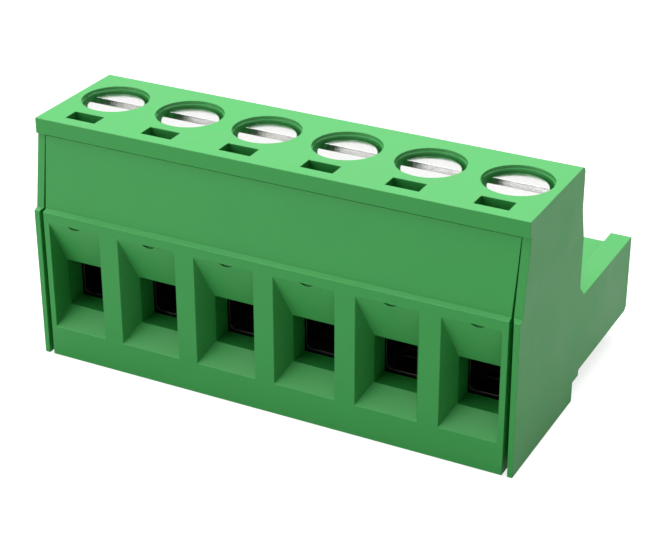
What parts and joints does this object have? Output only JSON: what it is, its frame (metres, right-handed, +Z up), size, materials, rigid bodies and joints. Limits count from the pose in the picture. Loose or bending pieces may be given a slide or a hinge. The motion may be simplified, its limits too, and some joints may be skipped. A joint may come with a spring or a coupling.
{
  "type": "pluggable terminal block",
  "caption": "Green plug-in screw terminal block: row of rising cage clamps under slotted screws, funnel wire entries in front, pin sockets behind.",
  "frame": {"origin": "centre of the footprint, at the base that the plug stands on", "axes": "+X along the row of poles, +Y from the wire entries back to the mating face, +Z up towards the screw heads"},
  "size_m": [0.0304, 0.0184, 0.015],
  "materials": {
    "moulded_green": "fine satin moulded polyamide",
    "plated_steel": "bright zinc plate",
    "plated_cage": "dull nickel plate",
    "tinned_strip": "matt tin plate over copper alloy"
  },
  "bodies": {
    "block": {"housing": "moulded_green", "front_cover": "moulded_green", "contact_1": "tinned_strip", "contact_2": "tinned_strip", "contact_3": "tinned_strip", "contact_4": "tinned_strip", "contact_5": "tinned_strip", "contact_6": "tinned_strip"},
    "screw_1": {"clamp_screw_1": "plated_steel"},
    "cage_1": {"clamp_cage_1": "plated_cage"},
    "screw_2": {"clamp_screw_2": "plated_steel"},
    "cage_2": {"clamp_cage_2": "plated_cage"},
    "screw_3": {"clamp_screw_3": "plated_steel"},
    "cage_3": {"clamp_cage_3": "plated_cage"},
    "screw_4": {"clamp_screw_4": "plated_steel"},
    "cage_4": {"clamp_cage_4": "plated_cage"},
    "screw_5": {"clamp_screw_5": "plated_steel"},
    "cage_5": {"clamp_cage_5": "plated_cage"},
    "screw_6": {"clamp_screw_6": "plated_steel"},
    "cage_6": {"clamp_cage_6": "plated_cage"}
  },
  "joints": [
    {"name": "screw_1_turn", "type": "hinge", "parent": "block", "child": "screw_1", "pos_m": [-0.0127, -0.00382, 0.0148], "axis": [0, 0, -1], "range_deg": [0, 2090]},
    {"name": "cage_1_lift", "type": "slide", "parent": "block", "child": "cage_1", "axis": [0, 0, 1], "range_m": [0, 0.00261]},
    {"name": "screw_2_turn", "type": "hinge", "parent": "block", "child": "screw_2", "pos_m": [-0.00762, -0.00382, 0.0148], "axis": [0, 0, -1], "range_deg": [0, 2090]},
    {"name": "cage_2_lift", "type": "slide", "parent": "block", "child": "cage_2", "axis": [0, 0, 1], "range_m": [0, 0.00261]},
    {"name": "screw_3_turn", "type": "hinge", "parent": "block", "child": "screw_3", "pos_m": [-0.00254, -0.00382, 0.0148], "axis": [0, 0, -1], "range_deg": [0, 2090]},
    {"name": "cage_3_lift", "type": "slide", "parent": "block", "child": "cage_3", "axis": [0, 0, 1], "range_m": [0, 0.00261]},
    {"name": "screw_4_turn", "type": "hinge", "parent": "block", "child": "screw_4", "pos_m": [0.00254, -0.00382, 0.0148], "axis": [0, 0, -1], "range_deg": [0, 2090]},
    {"name": "cage_4_lift", "type": "slide", "parent": "block", "child": "cage_4", "axis": [0, 0, 1], "range_m": [0, 0.00261]},
    {"name": "screw_5_turn", "type": "hinge", "parent": "block", "child": "screw_5", "pos_m": [0.00762, -0.00382, 0.0148], "axis": [0, 0, -1], "range_deg": [0, 2090]},
    {"name": "cage_5_lift", "type": "slide", "parent": "block", "child": "cage_5", "axis": [0, 0, 1], "range_m": [0, 0.00261]},
    {"name": "screw_6_turn", "type": "hinge", "parent": "block", "child": "screw_6", "pos_m": [0.0127, -0.00382, 0.0148], "axis": [0, 0, -1], "range_deg": [0, 2090]},
    {"name": "cage_6_lift", "type": "slide", "parent": "block", "child": "cage_6", "axis": [0, 0, 1], "range_m": [0, 0.00261]}
  ],
  "couplings": [
    {"joint": "screw_1_turn", "follows": "cage_1_lift", "rad_per_m": 13963},
    {"joint": "screw_2_turn", "follows": "cage_2_lift", "rad_per_m": 13963},
    {"joint": "screw_3_turn", "follows": "cage_3_lift", "rad_per_m": 13963},
    {"joint": "screw_4_turn", "follows": "cage_4_lift", "rad_per_m": 13963},
    {"joint": "screw_5_turn", "follows": "cage_5_lift", "rad_per_m": 13963},
    {"joint": "screw_6_turn", "follows": "cage_6_lift", "rad_per_m": 13963}
  ]
}
